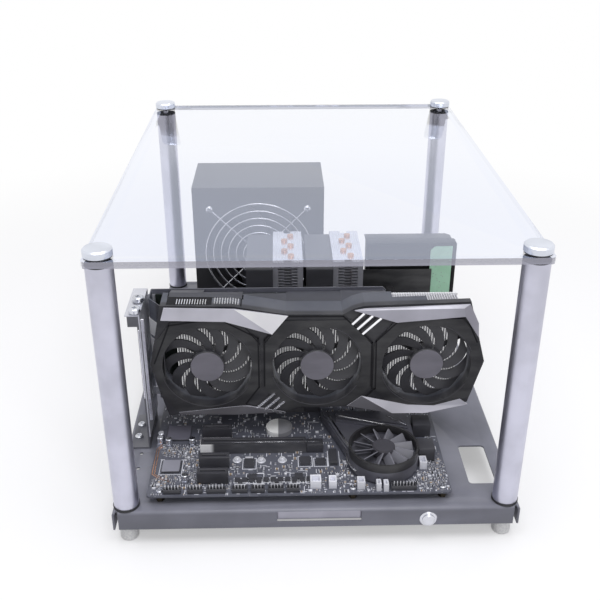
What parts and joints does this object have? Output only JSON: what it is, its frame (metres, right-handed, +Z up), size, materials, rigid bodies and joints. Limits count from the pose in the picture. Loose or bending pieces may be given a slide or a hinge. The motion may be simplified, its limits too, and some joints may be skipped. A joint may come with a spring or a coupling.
{
  "type": "open air test bench",
  "caption": "Open air test bench: folded tray on round posts under a glass lid, with mainboard, upright graphics card, tower cooler, power supply and drive.",
  "frame": {"origin": "on the ground, midway between the four post axes", "axes": "+X to the right, +Y to the back along the bench's length, +Z up"},
  "size_m": [0.326, 0.4249, 0.255],
  "materials": {
    "tray_paint": "fine satin powder coat, dark grey",
    "label_sheet": "bare brushed sheet, no print",
    "clear_rubber": "translucent white rubber",
    "black_rubber": "matt black",
    "post_aluminium": "satin anodised",
    "plug_steel": "turned",
    "cap_metal": "bright satin, chamfered edge",
    "clear_glass": "clear tempered sheet",
    "button_steel": "polished",
    "screw_steel": "zinc plated",
    "brass": "turned hexagon",
    "board_laminate": "dark solder mask with pale printed marks",
    "port_steel": "folded shell",
    "dark_aluminium": "dark anodised, ribbed",
    "socket_metal": "plated frame",
    "black_plastic": "moulded",
    "white_plastic": "moulded",
    "shield_steel": "bright folded shell",
    "can_aluminium": "drawn can",
    "cell_steel": "plated",
    "fan_plastic": "moulded, satin",
    "bracket_steel": "bright",
    "card_laminate": "dark laminate",
    "backplate_paint": "satin",
    "fin_aluminium": "bare pressed sheet",
    "shroud_plastic": "dark grey moulding",
    "trim_plastic": "silver-grey facets",
    "stand_paint": "satin",
    "supply_paint": "fine black powder coat",
    "guard_wire": "bright wire",
    "switch_plastic": "moulded",
    "nickel": "nickel plated",
    "copper": "bare copper pipe",
    "pale_plate": "bright plate",
    "drive_paint": "black cast cover",
    "drive_laminate": "green solder mask"
  },
  "bodies": {
    "bench": {"base_tray": "tray_paint", "label_plate": "label_sheet", "feet": "clear_rubber", "post_washers": "black_rubber", "post_front_left": "post_aluminium", "post_front_right": "post_aluminium", "post_rear_left": "post_aluminium", "post_rear_right": "post_aluminium", "post_plugs": "plug_steel", "caps": "cap_metal", "glass_top": "clear_glass", "button_body": "button_steel", "button_nut": "plug_steel", "board_standoffs": "brass", "board_screws": "screw_steel", "mainboard": "board_laminate", "rear_ports": "port_steel", "power_heat_sinks": "dark_aluminium", "processor_socket": "socket_metal", "memory_sockets": "black_plastic", "memory_modules": "dark_aluminium", "slot_bodies": "black_plastic", "slot_shields": "shield_steel", "white_connectors": "white_plastic", "black_connectors": "black_plastic", "board_chips": "black_plastic", "capacitors": "can_aluminium", "coin_cell": "cell_steel", "chipset_heat_sink": "dark_aluminium", "card_bracket": "bracket_steel", "card_board": "card_laminate", "card_backplate": "backplate_paint", "card_fin_pack": "fin_aluminium", "card_shroud": "shroud_plastic", "card_trim": "trim_plastic", "card_fan_mounts": "fan_plastic", "card_stand": "stand_paint", "thumb_screws": "screw_steel", "panel_screws": "screw_steel", "supply_case": "supply_paint", "supply_fan_frame": "fan_plastic", "supply_guard": "guard_wire", "supply_inlet": "switch_plastic", "cooler_base": "nickel", "heat_pipes": "copper", "cooler_fins": "nickel", "cooler_top_plates": "pale_plate", "cooler_fan_frames": "fan_plastic", "drive_case": "drive_paint", "drive_board": "drive_laminate", "drive_bracket": "stand_paint"},
    "power_button": {"button_plunger": "button_steel"},
    "card_fan_left": {"card_rotor_left": "fan_plastic"},
    "card_fan_middle": {"card_rotor_middle": "fan_plastic"},
    "card_fan_right": {"card_rotor_right": "fan_plastic"},
    "chipset_fan": {"chipset_rotor": "fan_plastic"},
    "supply_fan": {"supply_rotor": "fan_plastic"},
    "supply_switch": {"supply_rocker": "switch_plastic"},
    "cooler_fan_left": {"cooler_rotor_left": "fan_plastic"},
    "cooler_fan_right": {"cooler_rotor_right": "fan_plastic"}
  },
  "joints": [
    {"name": "power_button_press", "type": "slide", "parent": "bench", "child": "power_button", "axis": [0, 1, 0], "range_m": [0, 0.0015], "stiffness_N_per_m": 400},
    {"name": "card_fan_left_spin", "type": "hinge", "parent": "bench", "child": "card_fan_left", "pos_m": [-0.0894, -0.1205, 0.1095], "axis": [0, -1, 0], "continuous": true},
    {"name": "card_fan_middle_spin", "type": "hinge", "parent": "bench", "child": "card_fan_middle", "pos_m": [0.0033, -0.1205, 0.1095], "axis": [0, -1, 0], "continuous": true},
    {"name": "card_fan_right_spin", "type": "hinge", "parent": "bench", "child": "card_fan_right", "pos_m": [0.096, -0.1205, 0.1095], "axis": [0, -1, 0], "continuous": true},
    {"name": "chipset_fan_spin", "type": "hinge", "parent": "bench", "child": "chipset_fan", "pos_m": [0.057, -0.163, 0.054], "axis": [0, 0, 1], "continuous": true},
    {"name": "supply_fan_spin", "type": "hinge", "parent": "bench", "child": "supply_fan", "pos_m": [-0.05, 0.135, 0.106], "axis": [0, -1, 0], "continuous": true},
    {"name": "cooler_fan_left_spin", "type": "hinge", "parent": "bench", "child": "cooler_fan_left", "pos_m": [-0.046, 0.0175, 0.1176], "axis": [-1, 0, 0], "continuous": true},
    {"name": "cooler_fan_right_spin", "type": "hinge", "parent": "bench", "child": "cooler_fan_right", "pos_m": [0.01, 0.0175, 0.1176], "axis": [-1, 0, 0], "continuous": true},
    {"name": "supply_switch_rock", "type": "hinge", "parent": "bench", "child": "supply_switch", "pos_m": [-0.1165, 0.19552, 0.0575], "axis": [0, -1, 0], "range_deg": [0, 16]}
  ]
}
